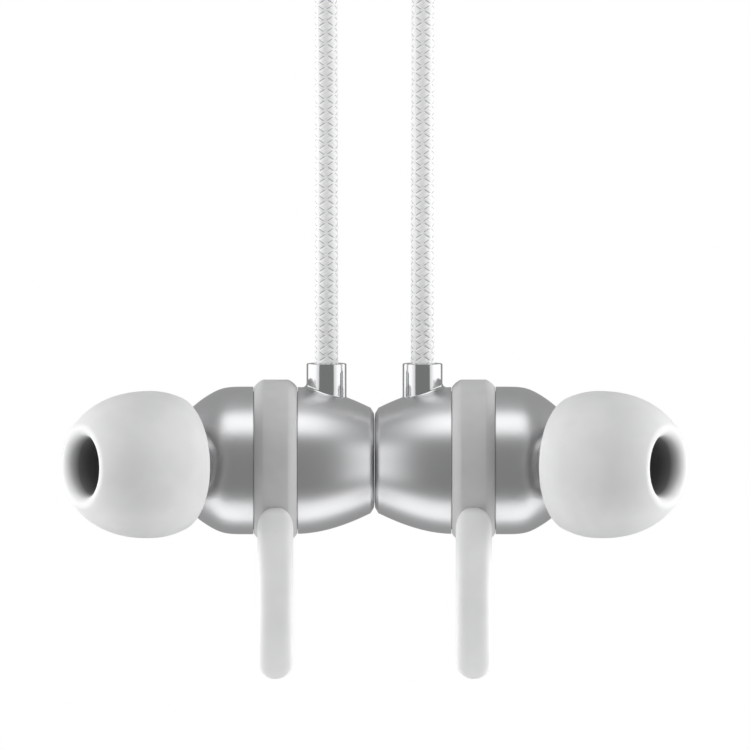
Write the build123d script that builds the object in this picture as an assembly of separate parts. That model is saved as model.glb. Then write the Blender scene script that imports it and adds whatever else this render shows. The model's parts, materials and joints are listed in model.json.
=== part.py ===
from build123d import *
import math
import os

# Wireless earphones with a neckband, in the pose in which they hang from the neck.
# Millimetres. Origin on the inner face of the band's back, where it rests on the neck.
# +Z up, -Y to the wearer's front, +X to the wearer's left.

# ------------------------------------------------------------------ neckband
BAND_TILT = 40.0            # slope of the band's plane, down towards the front, degrees
NECK_RADIUS = 60.0          # inner radius of the round back
BAND_THICK = 4.5
BAND_HEIGHT = 7.0
BAND_CORNER = 2.0
BACK_END = 50.0             # angles from the middle of the back, degrees
ARM_START = 62.0
ARM_END = 104.0
ARM_STRAIGHT = 34.0
FLEX_THICK = 3.7
FLEX_HEIGHT = 6.2
FLEX_RIBS = 5
RIB_SHARE = 0.4             # of the pitch of the ribs
RIB_STEP = 0.2              # how much thinner than the band a rib is
CORE_RADIUS = 0.8
HARNESS_RADIUS = 0.6
HARNESS_Z = -2.0
CORE_SHORT = 1.0            # how far the core wire ends before the harness does
CENTRE_RADIUS = NECK_RADIUS + BAND_THICK / 2

# ------------------------------------------------------------------ pods on the band's ends
# In a pod's own frame its rear end is at y = 0 and it points along -Y.
POD_WIDTH = 13.0
POD_HEIGHT = 9.0
POD_CORNER = 3.6
POD_SHELL = 50.0            # length of the two shells
POD_WALL = 1.1
SHOULDER = 9.0              # length over which a pod swells from the band's size
COLLAR = 0.4                # how far the pod's narrow end stands over the band
CEILING = POD_HEIGHT / 2 - POD_WALL
CAP_LENGTH = 4.0
CAP_ROUND = 1.5
CAP_OPENING = (8.0, 4.4)
SPIGOT = 2.0
RELIEF_LENGTH = 12.0
RELIEF_ROOT = 1.8           # radii of the strain relief
RELIEF_TIP = 1.3
RELIEF_FLANGE = 2.1
FLANGE_THICK = 0.8
RELIEF_GROOVES = 5
GROOVE_FIRST = 1.6          # from the cap to the first groove
GROOVE_PITCH = 1.9
GROOVE_WIDTH = 0.7
GROOVE_DEPTH = 0.28
GROOVE_REACH = 1.0          # how far the cutter of the grooves stands out
CONDUCTOR_RADIUS = 0.5
SCREW_Y = (-11.5, -46.3)
BOSS_RADIUS = 1.5
BOSS_SINK = 0.3             # how far a boss runs into the wall
SCREW_SHANK = 0.6
SCREW_HEAD = 1.15
HEAD_CLEARANCE = 0.1
SCREW_TIP = CEILING - 0.8
SCREW_HOLE = CEILING - 0.6
SCREW_SEAT = -CEILING + 0.5
SCREW_BOTTOM = -POD_HEIGHT / 2 + 0.25
CROSS_SLOT = (1.4, 0.3, 0.8)
BATTERY_Y = -29.0
BATTERY_SIZE = (9.6, 30.0, 5.6)
BATTERY_ROUND = 1.5

# ------------------------------------------------------------------ controls
BOARD_THICK = 0.8
BOARD_HALF = 4.9
BOARD_ENDS = (-44.6, -14.0)
SWITCH_HALF = 1.6
SWITCH_TOP = BOARD_THICK / 2 + 1.0
PLUNGER_TOP = SWITCH_TOP + 0.4
PLUNGER_RADIUS = 0.8
BUTTON_Y = (-17.5, -25.0, -32.5)
BUTTON_NAMES = ("volume_up_button", "multifunction_button", "volume_down_button")
BUTTON_LENGTH = 5.4
BUTTON_WIDTH = 4.2
BUTTON_CORNER = 1.6
BUTTON_TRAVEL = 0.4
BUTTON_GAP = 0.1
BUTTON_LOW = PLUNGER_TOP + BUTTON_TRAVEL + 0.05
BUTTON_TOP = 5.0
BUTTON_FLANGE = 1.0         # how much wider than the button its flange is
BUTTON_ROUND = 0.4
FLANGE_CORNER = 2.0
FLANGE_SLACK = 0.1
HOLE_START = CEILING - 0.5
PORT_Y = -40.3
PORT_LENGTH = 8.94
PORT_HEIGHT = 3.26
PORT_CORNER = 1.6
PORT_INNER_CORNER = 1.3
PORT_SHEET = 0.25           # thickness of the socket's metal
PORT_DEPTH = 6.4
PORT_MOUTH = 5.65           # from the pod's middle
PORT_BACK = PORT_MOUTH - PORT_DEPTH
PORT_FLOOR = PORT_BACK + 0.6
PORT_SLACK = 0.13           # between the socket and the board at its sides
PORT_BEHIND = 0.1           # between the socket and the board behind it
TONGUE_HALF = 3.3
TONGUE_THICK = 0.7
TONGUE_START = PORT_BACK + 0.5
TONGUE_END = PORT_MOUTH - 1.1
FLAP_LENGTH = 11.0
FLAP_HEIGHT = 5.0
FLAP_THICK = 0.9
FLAP_CORNER = 1.2
FLAP_ROUND = 0.3
FLAP_BACK = PORT_MOUTH + 0.1
FLAP_GAP = 0.15
TAB_LENGTH = 7.4
TAB_HEIGHT = 1.6
TAB_DEPTH = 1.0
TAB_CORNER = 0.7
PIPE_PLACE = (-2.2, -37.5)
PIPE_RADIUS = 0.6
MIC_PLACE = (-3.0, -42.0)
MIC_HALF = (1.3, 0.9)
MIC_HEIGHT = 1.0
MIC_PORT = 0.4

# ------------------------------------------------------------------ cords
CORD_DIAMETER = 1.92
# from the strain relief's end down to the gland, wearer's left side
CORD_ROUTE = [
    (36.209, -131.828, -110.617),
    (33.3, -140.75, -118.1),
    (30.1, -148.3, -128.4),
    (26.2, -153.6, -142.0),
    (21.0, -156.4, -160.0),
    (14.6, -157.6, -182.5),
    (8.2, -158.0, -208.5),
    (4.6, -158.03, -238.0),
    (4.0, -158.0, -278.0),
    (4.0, -158.0, -318.0),
]
ARC_SHARE = 0.45            # of the shorter of the two runs that an arc joins

# ------------------------------------------------------------------ earbuds
# In a bud's own frame the faces that clasp meet at x = 0, and X is the body's axis.
CORD_SINK = 1.2             # how deep the cord's end sits in the gland
GLAND_TOP = 8.1             # height of the gland's mouth over the body's axis
BUD_Y = -158.0
BUD_Z = CORD_ROUTE[-1][2] + CORD_SINK - GLAND_TOP
FACE_GAP = 0.05             # from the mirror plane to each magnetic face
FACE_RADIUS = 3.92
CHAMFER_X = 0.34
CHAMFER_RADIUS = 4.40
FLANK_POINTS = [(2.3, 5.26), (4.3, 5.86)]
SHOULDER_X = 6.40
SHOULDER_RADIUS = 6.12
GROOVE_RADIUS = 5.75
SEAM_X = 8.25
GROOVE_END = 10.10
BODY_RADIUS = 6.15
DOME_X = 11.2
DOME_POINTS = [(15.6, 4.03), (13.4, 5.70)]
DOME_POLE = 17.03
SHELL_INNER = 5.15
MAGNET_RADIUS = 3.0
MAGNET_START = 0.80
MAGNET_END = 2.30
POCKET_FLOOR = [(MAGNET_END, 4.2), (4.6, SHELL_INNER)]
DRIVER_STOP = 9.9           # the step in the front shell that the driver is seated on
STOP_RADIUS = 4.6
FRONT_HOLLOW = [(11.6, STOP_RADIUS), (14.4, 3.0), (15.2, 0)]
GLAND_X = 4.0
GLAND_RADIUS = 1.665
GLAND_FOOT = 4.0
GLAND_SPIGOT = 1.2
BUSH_HEIGHT = 0.6
BUSH_HOLE = 0.3
GLAND_HOLE = 0.6
GLAND_PIT = 3.0             # where the spigot's hole in the rear shell ends
SPIGOT_LOW = GLAND_FOOT + 0.4
SPIGOT_HIGH = GLAND_TOP - 1.0
CORD_FIT = 0.04             # radial clearance of the cord in the gland
NOZZLE_PLACE = (14.1, -3.43, 0.0)
NOZZLE_ANGLE = 30.0         # of the nozzle's axis, towards the front, degrees
NOZZLE_OUTER = 2.25
ROOT_START = -3.0           # where the nozzle's hole in the front shell ends inside
FLARE_START = 0.5           # the nozzle's flared collar, along its axis
FLARE_END = 1.4
FLARE_TOP = 2.0
FLARE_RADIUS = 2.9
NOZZLE_WAIST = 2.1
WAIST_START = FLARE_TOP + 0.3
NOZZLE_INNER = 1.7
NOZZLE_START = -1.0
NOZZLE_END = 7.9
NOZZLE_LIP = 0.9
MESH_THICK = 0.15

# ------------------------------------------------------------------ driver
DRIVER_BACK = 6.3
DRIVER_FRONT = 9.5
DRIVER_RADIUS = 5.1
DRIVER_SHEET = 0.5
YOKE_RADIUS = 3.5
YOKE_WALL = 0.4
YOKE_TOP = 8.2
DRIVER_MAGNET = 2.5
MAGNET_TOP = YOKE_TOP - 0.2
GASKET_INNER = 4.3
COIL_INNER = 2.7
COIL_OUTER = 2.9
COIL_BACK = 7.3
CONE_X = 8.85
CONE_THICK = 0.15
CONE_RADIUS = 4.7

# ------------------------------------------------------------------ ear tip
# Along the nozzle's axis, from the skirt's rim.
TIP_RIM = 2.69              # where the skirt's rim lies on the nozzle's axis
BORE_RADIUS = 2.5
BORE_STEP = 5.4             # where the wide bore narrows onto the nozzle
CORE_BACK = -0.3
CORE_INNER = 2.3
CORE_OUTER = 3.1
SKIRT_OUTLINE = [(0, 5.56), (1.2, 5.96), (2.5, 6.114), (4.5, 5.985), (6.0, 5.613), (7.5, 4.887), (8.85, 3.76)]
LIP_CREST = (9.12, 3.1)
BORE_MOUTH = (8.70, BORE_RADIUS)
SKIRT_INSIDE = [(6.9, CORE_OUTER), (6.75, 4.0), (5.2, 5.1), (2.9, 5.6), (0, 5.1)]

# ------------------------------------------------------------------ ring sleeve and wing
SLEEVE_INNER = 5.80
SLEEVE_OUTER = 6.74
SLEEVE_EDGE = 6.05          # radius where the sleeve's rounded sides start
SLEEVE_HALF = 1.8
SLEEVE_FLAT = 0.8
WING_HALF = 1.5
WING_TOP = -2.5
WING_END = -18.3
WING_FRONT = [(-5.95, -3.0), (-7.5, -8.3), (-6.9, -13.4), (-3.7, -18.05)]
WING_TIP = (-2.35, -18.15)
WING_BACK = [(-2.35, -16.8), (-4.75, -13.0), (-5.2, -8.8), (-4.0, -5.4)]
WING_FIT = 0.02             # how far the wing's root stays off the groove's floor
WING_ROOT = [(-4.0, -5.4), (-3.6, -4.85), (-5.4, -2.55), (-5.95, -3.0)]

TILT = Location((0, 0, 0), (BAND_TILT, 0, 0))
NECK_AXIS = Axis((0, -NECK_RADIUS, 0), (0, 0, -1))
TO_NOZZLE = Location(NOZZLE_PLACE, (0, 0, -NOZZLE_ANGLE))
pieces = {}


# ================================================================== helpers
def turned(*edges):
    """A solid turned about the X axis from edges in the XY plane, y being the radius."""
    return revolve(make_face(Wire(list(edges))), Axis.X)


def ring(start, end, inner, outer):
    """A tube or disc about the X axis."""
    section = Rectangle(end - start, outer - inner, align=(Align.MIN, Align.MIN))
    return revolve(Pos(start, inner) * section, Axis.X)


def box(low, high):
    """A box between two corners."""
    size = [high[i] - low[i] for i in range(3)]
    centre = [(high[i] + low[i]) / 2 for i in range(3)]
    return Pos(*centre) * Box(*size)


def upright(x, y, low, high, radius):
    """A cylinder along Z."""
    return Pos(x, y, low) * Cylinder(radius, high - low, align=(Align.CENTER, Align.CENTER, Align.MIN))


def mirrored(shape):
    """The same shape for the wearer's right side."""
    return mirror(shape, about=Plane.YZ)


# ================================================================== neckband
def across_band(angle, z=0.0):
    """The plane across the band at an angle from the middle of the back; its X points outwards."""
    turn = math.radians(angle)
    outward = Vector(math.sin(turn), math.cos(turn), 0)
    along = Vector(math.cos(turn), -math.sin(turn), 0)
    return Plane(origin=Vector(0, -NECK_RADIUS, z) + outward * CENTRE_RADIUS, x_dir=outward, z_dir=along)


def band_arc(start, end, thick, height, corner):
    """A stretch of the band's round back."""
    section = across_band(start) * RectangleRounded(thick, height, corner)
    return revolve(section, NECK_AXIS, end - start)


def wire(z, radius, reach):
    """A round wire through the whole band, with a straight run of the given reach at each end."""
    curved = revolve(across_band(-ARM_END, z) * Circle(radius), NECK_AXIS, 2 * ARM_END)
    straight = extrude(across_band(ARM_END, z) * Circle(radius), reach)
    return curved + straight + mirrored(straight)


def flex_sleeve():
    """The ribbed stretch where an arm bends."""
    sleeve = band_arc(BACK_END, ARM_START, FLEX_THICK, FLEX_HEIGHT, BAND_CORNER - RIB_STEP * 2)
    pitch = (ARM_START - BACK_END) / FLEX_RIBS
    for i in range(FLEX_RIBS):
        start = BACK_END + (i + (1 - RIB_SHARE) / 2) * pitch
        sleeve += band_arc(start, start + RIB_SHARE * pitch, BAND_THICK - RIB_STEP, BAND_HEIGHT - RIB_STEP,
                           BAND_CORNER - RIB_STEP / 2)
    return sleeve


def make_band():
    """The silicone band in the stretches that move apart, and the wires that run through it."""
    pieces["core_wire"] = wire(0, CORE_RADIUS, ARM_STRAIGHT + SHOULDER - CORE_SHORT)
    pieces["band_harness"] = wire(HARNESS_Z, HARNESS_RADIUS, ARM_STRAIGHT + SHOULDER)
    channels = pieces["core_wire"] + pieces["band_harness"]
    pieces["band_back"] = band_arc(-BACK_END, BACK_END, BAND_THICK, BAND_HEIGHT, BAND_CORNER) - channels
    arm = band_arc(ARM_START, ARM_END, BAND_THICK, BAND_HEIGHT, BAND_CORNER)
    section = RectangleRounded(BAND_THICK, BAND_HEIGHT, BAND_CORNER)
    arm += extrude(across_band(ARM_END) * section, ARM_STRAIGHT)
    pieces["left_band_flex"] = flex_sleeve() - channels
    pieces["left_band_arm"] = arm - channels
    pieces["right_band_flex"] = mirrored(pieces["left_band_flex"])
    pieces["right_band_arm"] = mirrored(pieces["left_band_arm"])


# ================================================================== pods
def pod_plane(y):
    """A plane across the pod, with its normal pointing to the pod's front end."""
    return Plane(origin=(0, y, 0), x_dir=(1, 0, 0), z_dir=(0, -1, 0))


def pod_section(inset=0.0):
    """The pod's section, or the same one set in by a wall."""
    return RectangleRounded(POD_WIDTH - 2 * inset, POD_HEIGHT - 2 * inset, POD_CORNER - inset)


def pod_body():
    """The pod's outer shape without the end cap."""
    narrow = RectangleRounded(BAND_THICK + 2 * COLLAR, BAND_HEIGHT + COLLAR, BAND_CORNER + COLLAR)
    body = extrude(pod_plane(-SHOULDER) * pod_section(), POD_SHELL - SHOULDER)
    return body + loft([pod_plane(0) * narrow, pod_plane(-SHOULDER) * pod_section()])


def wire_holes():
    """Channels for the two wires through the pod's rear end."""
    core = extrude(pod_plane(0) * Circle(CORE_RADIUS), SHOULDER)
    return core + extrude(pod_plane(0) * Pos(0, HARNESS_Z) * Circle(HARNESS_RADIUS), SHOULDER)


def pod_screw(y):
    """A cross-head screw through the bottom shell's boss into the top shell's."""
    screw = upright(0, y, SCREW_SEAT, SCREW_TIP, SCREW_SHANK)
    screw += upright(0, y, SCREW_BOTTOM, SCREW_SEAT, SCREW_HEAD)
    length, width, depth = CROSS_SLOT
    return screw - Pos(0, y, SCREW_BOTTOM) * (Box(length, width, depth) + Box(width, length, depth))


def pod_shells():
    """The two shells with their screw bosses, and the two screws."""
    cavity = extrude(pod_plane(-SHOULDER) * pod_section(POD_WALL), POD_SHELL - SHOULDER)
    shell = pod_body() - cavity - wire_holes()
    top = shell & box((-POD_WIDTH, -POD_SHELL, 0), (POD_WIDTH, 0, POD_WIDTH))
    bottom = shell & box((-POD_WIDTH, -POD_SHELL, -POD_WIDTH), (POD_WIDTH, 0, 0))
    screws = Part()
    for y in SCREW_Y:
        top += upright(0, y, 0, CEILING + BOSS_SINK, BOSS_RADIUS)
        top -= upright(0, y, 0, SCREW_HOLE, SCREW_SHANK)
        bottom += upright(0, y, -CEILING - BOSS_SINK, 0, BOSS_RADIUS)
        bottom -= upright(0, y, -POD_HEIGHT, SCREW_SEAT, SCREW_HEAD + HEAD_CLEARANCE)
        bottom -= upright(0, y, -POD_HEIGHT, 0, SCREW_SHANK)
        screws += pod_screw(y)
    return top, bottom, screws


def end_cap():
    """The metal cap on the pod's front end."""
    cap = extrude(pod_plane(-POD_SHELL) * pod_section(), CAP_LENGTH)
    cap = fillet(cap.edges().group_by(Axis.Y)[0], CAP_ROUND)
    inside = pod_plane(-POD_SHELL + SPIGOT)
    cap += extrude(inside * pod_section(POD_WALL), SPIGOT)
    cap -= extrude(inside * RectangleRounded(*CAP_OPENING, BAND_CORNER), SPIGOT)
    return cap - extrude(pod_plane(-POD_SHELL) * Circle(RELIEF_ROOT), CAP_LENGTH)


def strain_relief():
    """The soft tapered sleeve that the cord leaves through, with its flange behind the cap's wall."""
    start = -POD_SHELL - CAP_LENGTH
    end = start - RELIEF_LENGTH
    flange_plane = pod_plane(-POD_SHELL + FLANGE_THICK)
    body = extrude(pod_plane(-POD_SHELL) * Circle(RELIEF_ROOT), CAP_LENGTH)
    body += extrude(flange_plane * Circle(RELIEF_FLANGE), FLANGE_THICK)
    body += loft([pod_plane(start) * Circle(RELIEF_ROOT), pod_plane(end) * Circle(RELIEF_TIP)])
    for i in range(RELIEF_GROOVES):
        share = (GROOVE_FIRST + GROOVE_PITCH * i) / RELIEF_LENGTH
        radius = RELIEF_ROOT + (RELIEF_TIP - RELIEF_ROOT) * share
        cutter = Circle(RELIEF_ROOT + GROOVE_REACH) - Circle(radius - GROOVE_DEPTH)
        body -= extrude(pod_plane(start - share * RELIEF_LENGTH) * cutter, GROOVE_WIDTH)
    return body - extrude(flange_plane * Circle(CONDUCTOR_RADIUS), FLANGE_THICK + CAP_LENGTH + RELIEF_LENGTH)


# ================================================================== controls in the wearer's left pod
def side_slab(x, length, height, corner, depth):
    """A rounded slab along X, centred on the charging port."""
    plane = Plane(origin=(x, PORT_Y, 0), x_dir=(0, 1, 0), z_dir=(1, 0, 0))
    return extrude(plane * RectangleRounded(length, height, corner), depth)


def top_slab(y, z, grow, corner, depth):
    """A rounded slab along Z in a button's outline, grown all round by half of the given amount."""
    outline = RectangleRounded(BUTTON_WIDTH + grow, BUTTON_LENGTH + grow, corner)
    return Pos(0, y, z) * extrude(outline, depth)


def circuit_board():
    """The board, cut out round the charging port."""
    half = BOARD_THICK / 2
    board = box((-BOARD_HALF, BOARD_ENDS[0], -half), (BOARD_HALF, BOARD_ENDS[1], half))
    gap = PORT_LENGTH / 2 + PORT_SLACK
    low = (PORT_BACK - PORT_BEHIND, PORT_Y - gap, -BOARD_THICK)
    return board - box(low, (POD_WIDTH, PORT_Y + gap, BOARD_THICK))


def button_switches():
    """The three tact switches under the buttons."""
    switches = Part()
    for y in BUTTON_Y:
        low = (-SWITCH_HALF, y - SWITCH_HALF, BOARD_THICK / 2)
        switches += box(low, (SWITCH_HALF, y + SWITCH_HALF, SWITCH_TOP))
        switches += upright(0, y, SWITCH_TOP, PLUNGER_TOP, PLUNGER_RADIUS)
    return switches


def button(y):
    """A button with the flange that keeps it in its hole."""
    cap = top_slab(y, BUTTON_LOW, 0, BUTTON_CORNER, BUTTON_TOP - BUTTON_LOW)
    cap = fillet(cap.edges().group_by(Axis.Z)[-1], BUTTON_ROUND)
    depth = FLANGE_THICK - FLANGE_SLACK
    return cap + top_slab(y, CEILING - FLANGE_THICK, BUTTON_FLANGE, FLANGE_CORNER, depth)


def charging_port():
    """The socket's metal mouth, with its tongue."""
    port = side_slab(PORT_BACK, PORT_LENGTH, PORT_HEIGHT, PORT_CORNER, PORT_DEPTH)
    sheet = 2 * PORT_SHEET
    port -= side_slab(PORT_FLOOR, PORT_LENGTH - sheet, PORT_HEIGHT - sheet, PORT_INNER_CORNER, PORT_DEPTH)
    half = TONGUE_THICK / 2
    return port + box((TONGUE_START, PORT_Y - TONGUE_HALF, -half), (TONGUE_END, PORT_Y + TONGUE_HALF, half))


def port_flap():
    """The flap over the port, with the tab that plugs into it."""
    flap = side_slab(FLAP_BACK, FLAP_LENGTH, FLAP_HEIGHT, FLAP_CORNER, FLAP_THICK)
    flap = fillet(flap.edges().group_by(Axis.X)[-1], FLAP_ROUND)
    return flap + side_slab(FLAP_BACK - TAB_DEPTH, TAB_LENGTH, TAB_HEIGHT, TAB_CORNER, TAB_DEPTH)


def controls(top, bottom):
    """The pieces on the board, and the two shells with the openings for them."""
    board_top = BOARD_THICK / 2
    made = {
        "circuit_board": circuit_board(),
        "button_switches": button_switches(),
        "charging_port": charging_port(),
        "port_flap": port_flap(),
    }
    for name, y in zip(BUTTON_NAMES, BUTTON_Y):
        made[name] = button(y)
        top -= top_slab(y, HOLE_START, 2 * BUTTON_GAP, BUTTON_CORNER + BUTTON_GAP, POD_WALL * 2)
    half_length = FLAP_LENGTH / 2 + FLAP_GAP
    half_height = FLAP_HEIGHT / 2 + FLAP_GAP
    opening = side_slab(PORT_BACK, PORT_LENGTH, PORT_HEIGHT, PORT_CORNER, PORT_DEPTH + 2)
    recess_low = (PORT_MOUTH, PORT_Y - half_length, -half_height)
    opening += box(recess_low, (POD_WIDTH, PORT_Y + half_length, half_height))
    top -= opening
    bottom -= opening

    made["light_pipe"] = upright(*PIPE_PLACE, board_top, POD_HEIGHT / 2, PIPE_RADIUS)
    top -= upright(*PIPE_PLACE, board_top, POD_HEIGHT, PIPE_RADIUS)
    mic_x, mic_y = MIC_PLACE
    half_x, half_y = MIC_HALF
    made["microphone"] = box((mic_x - half_x, mic_y - half_y, -board_top - MIC_HEIGHT),
                             (mic_x + half_x, mic_y + half_y, -board_top))
    bottom -= upright(mic_x, mic_y, -POD_HEIGHT, -board_top - MIC_HEIGHT, MIC_PORT)
    return top, bottom, made


def make_pods():
    """The control pod on the wearer's left and the battery pod on the wearer's right."""
    end = across_band(ARM_END)
    place = Location(end.origin + end.z_dir * ARM_STRAIGHT, (0, 0, 90 - ARM_END))
    top, bottom, screws = pod_shells()
    cap = end_cap()
    relief = strain_relief()
    top_left, bottom_left, made = controls(top, bottom)
    made["left_pod_top"] = top_left
    made["left_pod_bottom"] = bottom_left
    made["left_pod_screws"] = screws
    made["left_end_cap"] = cap
    made["left_strain_relief"] = relief
    for name, shape in made.items():
        pieces[name] = place * shape
    battery = Pos(0, BATTERY_Y, 0) * Box(*BATTERY_SIZE)
    other = {
        "right_pod_top": top,
        "right_pod_bottom": bottom,
        "right_pod_screws": screws,
        "right_end_cap": cap,
        "right_strain_relief": relief,
        "battery": fillet(battery.edges().filter_by(Axis.Y), BATTERY_ROUND),
    }
    for name, shape in other.items():
        pieces[name] = mirrored(place * shape)


# ================================================================== earbuds
def rear_outer():
    """The rear half's outer shape, filled, up to the seam."""
    face = Line((FACE_GAP, 0), (FACE_GAP, FACE_RADIUS))
    chamfer = Line((FACE_GAP, FACE_RADIUS), (CHAMFER_X, CHAMFER_RADIUS))
    flank = Spline((CHAMFER_X, CHAMFER_RADIUS), *FLANK_POINTS, (SHOULDER_X, SHOULDER_RADIUS))
    rest = Polyline((SHOULDER_X, SHOULDER_RADIUS), (SHOULDER_X, GROOVE_RADIUS), (SEAM_X, GROOVE_RADIUS),
                    (SEAM_X, 0), (FACE_GAP, 0))
    return turned(face, chamfer, flank, *rest.edges())


def rear_cavity():
    """The hollow of the rear half, with the magnet's pocket at its bottom."""
    pocket = [(MAGNET_START, 0), (MAGNET_START, MAGNET_RADIUS), (MAGNET_END, MAGNET_RADIUS)]
    line = Polyline(*pocket, *POCKET_FLOOR, (SEAM_X, SHELL_INNER), (SEAM_X, 0), (MAGNET_START, 0))
    return turned(*line.edges())


def nozzle_root():
    """The nozzle's root with its flared collar, filled, which the front shell is cut to."""
    line = Polyline((ROOT_START, 0), (ROOT_START, NOZZLE_OUTER), (FLARE_START, NOZZLE_OUTER),
                    (FLARE_END, FLARE_RADIUS), (FLARE_TOP, FLARE_RADIUS), (FLARE_TOP, 0), (ROOT_START, 0))
    return turned(*line.edges())


def front_shell():
    """The domed front half with the driver's seat and the nozzle's bore."""
    dome = Spline((DOME_POLE, 0), *DOME_POINTS, (DOME_X, BODY_RADIUS), tangents=((0, 1), (-1, 0)))
    side = Polyline((DOME_X, BODY_RADIUS), (GROOVE_END, BODY_RADIUS), (GROOVE_END, GROOVE_RADIUS),
                    (SEAM_X, GROOVE_RADIUS), (SEAM_X, 0), (DOME_POLE, 0))
    cavity = Polyline((SEAM_X, 0), (SEAM_X, SHELL_INNER), (DRIVER_STOP, SHELL_INNER),
                      (DRIVER_STOP, STOP_RADIUS), *FRONT_HOLLOW, (SEAM_X, 0))
    return turned(dome, *side.edges()) - turned(*cavity.edges()) - TO_NOZZLE * nozzle_root()


def nozzle():
    """The sound tube, with its collar and the lip that keeps the ear tip on."""
    tube = nozzle_root() - ring(ROOT_START, NOZZLE_START, 0, FLARE_RADIUS)
    tube += ring(FLARE_TOP, NOZZLE_END, 0, NOZZLE_OUTER)
    tube -= ring(ROOT_START, NOZZLE_END, 0, NOZZLE_INNER)
    return TO_NOZZLE * (tube - ring(WAIST_START, NOZZLE_END - NOZZLE_LIP, NOZZLE_WAIST, FLARE_RADIUS))


def nozzle_mesh():
    """The screen just inside the nozzle's mouth."""
    return TO_NOZZLE * ring(NOZZLE_END - 2 * MESH_THICK, NOZZLE_END - MESH_THICK, 0, NOZZLE_INNER)


def ear_tip():
    """The silicone tip: an umbrella skirt folded back from a wide lip, round a core on the nozzle."""
    outer = Spline(*SKIRT_OUTLINE)
    lip = ThreePointArc(SKIRT_OUTLINE[-1], LIP_CREST, BORE_MOUTH)
    bore = Polyline(BORE_MOUTH, (BORE_STEP, BORE_RADIUS), (BORE_STEP, CORE_INNER), (CORE_BACK, CORE_INNER),
                    (CORE_BACK, CORE_OUTER), *SKIRT_INSIDE, SKIRT_OUTLINE[0])
    return TO_NOZZLE * Pos(TIP_RIM, 0, 0) * turned(outer, lip, *bore.edges())


def sleeve_ring():
    """The ring in the body's groove, flat across its middle and rounded at its sides."""
    low = SEAM_X - SLEEVE_HALF
    high = SEAM_X + SLEEVE_HALF
    side = SLEEVE_HALF - SLEEVE_FLAT
    rise = SLEEVE_OUTER - SLEEVE_EDGE
    near = EllipticalCenterArc((low + side, SLEEVE_EDGE), side, rise, start_angle=90, arc_size=90)
    far = EllipticalCenterArc((high - side, SLEEVE_EDGE), side, rise, start_angle=0, arc_size=90)
    crown = Line((high - side, SLEEVE_OUTER), (low + side, SLEEVE_OUTER))
    base = Polyline((low, SLEEVE_EDGE), (low, SLEEVE_INNER), (high, SLEEVE_INNER), (high, SLEEVE_EDGE))
    return turned(near, crown, far, *base.edges())


def ear_wing():
    """The hooked wing: its side outline given the wing's width, and rounded at both ends from the front."""
    outline = make_face(Wire([
        Spline(*WING_FRONT),
        ThreePointArc(WING_FRONT[-1], WING_TIP, WING_BACK[0]),
        Spline(*WING_BACK),
        *Polyline(*WING_ROOT).edges(),
    ]))
    side_plane = Plane(origin=(SEAM_X - WING_HALF, 0, 0), x_dir=(0, 1, 0), z_dir=(1, 0, 0))
    middle = (WING_TOP + WING_END) / 2
    front_plane = Plane(origin=(SEAM_X, 0, middle), x_dir=(0, 0, 1), z_dir=(0, -1, 0))
    from_front = extrude(front_plane * SlotOverall(WING_TOP - WING_END, 2 * WING_HALF), 2 * BODY_RADIUS)
    wing = extrude(side_plane * outline, 2 * WING_HALF) & from_front
    return wing - ring(0, DOME_POLE, 0, SLEEVE_INNER + WING_FIT)


def cord_gland(outer):
    """The metal tube that the cord's end is held in, standing on the rear shell."""
    bush_low = GLAND_TOP - CORD_SINK - BUSH_HEIGHT
    gland = upright(GLAND_X, 0, GLAND_FOOT, GLAND_TOP, GLAND_RADIUS) - outer
    gland += upright(GLAND_X, 0, SPIGOT_LOW, SPIGOT_HIGH, GLAND_SPIGOT)
    gland -= upright(GLAND_X, 0, bush_low, GLAND_TOP, CORD_DIAMETER / 2 + CORD_FIT)
    return gland - upright(GLAND_X, 0, GLAND_FOOT, GLAND_TOP, GLAND_HOLE)


def cord_bush():
    """The potted grommet under the cord's end, with its wire hole."""
    high = GLAND_TOP - CORD_SINK
    bush = upright(GLAND_X, 0, high - BUSH_HEIGHT, high, CORD_DIAMETER / 2 + CORD_FIT)
    return bush - upright(GLAND_X, 0, GLAND_FOOT, GLAND_TOP, BUSH_HOLE)


def driver_parts():
    """The moving-coil driver, facing the nozzle."""
    frame = ring(DRIVER_BACK, DRIVER_BACK + DRIVER_SHEET, 0, YOKE_RADIUS)
    frame += ring(DRIVER_BACK + DRIVER_SHEET, YOKE_TOP, YOKE_RADIUS - YOKE_WALL, YOKE_RADIUS)
    frame += ring(YOKE_TOP, YOKE_TOP + YOKE_WALL, YOKE_RADIUS - YOKE_WALL, DRIVER_RADIUS)
    frame += ring(YOKE_TOP + YOKE_WALL, DRIVER_FRONT, CONE_RADIUS + CONE_THICK, DRIVER_RADIUS)
    return {
        "driver_frame": frame,
        "driver_magnet": ring(DRIVER_BACK + DRIVER_SHEET, MAGNET_TOP, 0, DRIVER_MAGNET),
        "voice_coil": ring(COIL_BACK, CONE_X, COIL_INNER, COIL_OUTER),
        "diaphragm": ring(CONE_X, CONE_X + CONE_THICK, 0, CONE_RADIUS),
        "driver_gasket": ring(DRIVER_FRONT, DRIVER_STOP, GASKET_INNER, DRIVER_RADIUS),
    }


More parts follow.
